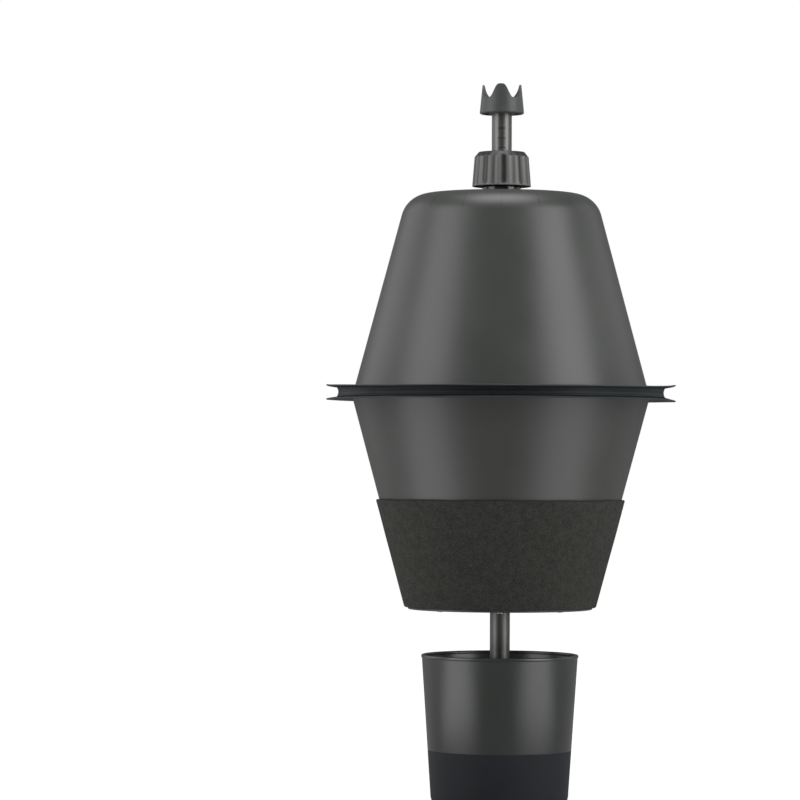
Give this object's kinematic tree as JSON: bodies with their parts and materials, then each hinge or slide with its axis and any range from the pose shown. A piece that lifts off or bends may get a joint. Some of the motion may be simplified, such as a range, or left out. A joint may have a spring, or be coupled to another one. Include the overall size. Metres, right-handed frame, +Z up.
{
  "type": "tuba practice mute",
  "caption": "Practice mute for a tuba: a double-cone body with foam band and bumper ring slides on a tube between a cup and a pronged outlet and is clamped by a knob.",
  "frame": {"origin": "centre of the cup's foot, on the surface that the mute stands on", "axes": "+Z up along the tube's axis, -Y towards the picture's viewer, jack on the +Y side"},
  "size_m": [0.349, 0.349, 0.7289],
  "materials": {
    "shell_plastic": "moulded dark grey with a slight pearl, satin",
    "cup_plastic": "moulded dark grey, satin",
    "tube_metal": "satin grey anodised",
    "crown_rubber": "firm dark grey rubber, matte",
    "knob_plastic": "dark grey, satin",
    "collar_plastic": "near black, semi-gloss",
    "bumper_rubber": "near black rubber, satin",
    "band_foam": "charcoal closed-cell foam, fine grain",
    "band_rubber": "dark navy rubber, matte",
    "bush_nylon": "natural nylon",
    "seal_rubber": "black rubber",
    "collet_plastic": "grey acetal, satin",
    "screw_steel": "zinc-plated steel",
    "board_laminate": "green circuit board",
    "capsule_metal": "plain aluminium can",
    "jack_plastic": "black moulded housing"
  },
  "bodies": {
    "stem": {"sound_tube": "tube_metal", "crown_outlet": "crown_rubber", "cup_shell": "cup_plastic", "cup_band": "band_rubber", "cup_hub": "knob_plastic", "hub_screws": "screw_steel", "hub_grub_screws": "screw_steel"},
    "slide_seal": {"tube_seal": "seal_rubber"},
    "mute_body": {"upper_shell": "shell_plastic", "lower_shell": "shell_plastic", "seam_gasket": "seal_rubber", "seam_screws": "screw_steel", "seam_nuts": "screw_steel", "bumper_ring": "bumper_rubber", "foam_band": "band_foam", "bottom_plate": "knob_plastic", "plate_gasket": "seal_rubber", "plate_screws": "screw_steel", "lower_bush": "bush_nylon", "seal_cap": "knob_plastic", "seal_cap_screws": "screw_steel", "threaded_collar": "collar_plastic", "collar_gasket": "seal_rubber", "collar_washer": "screw_steel", "collar_nut": "collar_plastic", "upper_bush": "bush_nylon", "collet": "collet_plastic", "jack_socket": "jack_plastic", "jack_nut": "screw_steel", "pickup_board": "board_laminate", "board_screws": "screw_steel", "mic_capsule": "capsule_metal", "mic_boot": "seal_rubber"},
    "clamp_washer": {"thrust_washer": "screw_steel"},
    "knob": {"clamp_knob": "knob_plastic", "knob_insert": "screw_steel", "retaining_clip": "screw_steel"}
  },
  "joints": [
    {"name": "body_slide", "type": "slide", "parent": "stem", "child": "slide_seal", "axis": [0, 0, 1], "range_m": [-0.043, 0.0354]},
    {"name": "body_turn", "type": "hinge", "parent": "slide_seal", "child": "mute_body", "pos_m": [0, 0, 0.208], "axis": [0, 0, 1], "continuous": true},
    {"name": "washer_lift", "type": "slide", "parent": "mute_body", "child": "clamp_washer", "axis": [0, 0, 1], "range_m": [0, 0.002]},
    {"name": "knob_turn", "type": "hinge", "parent": "clamp_washer", "child": "knob", "pos_m": [0, 0, 0.64], "axis": [0, 0, 1], "range_deg": [0, 360]}
  ],
  "couplings": [
    {"joint": "washer_lift", "follows": "knob_turn", "m_per_rad": 0.000318}
  ]
}
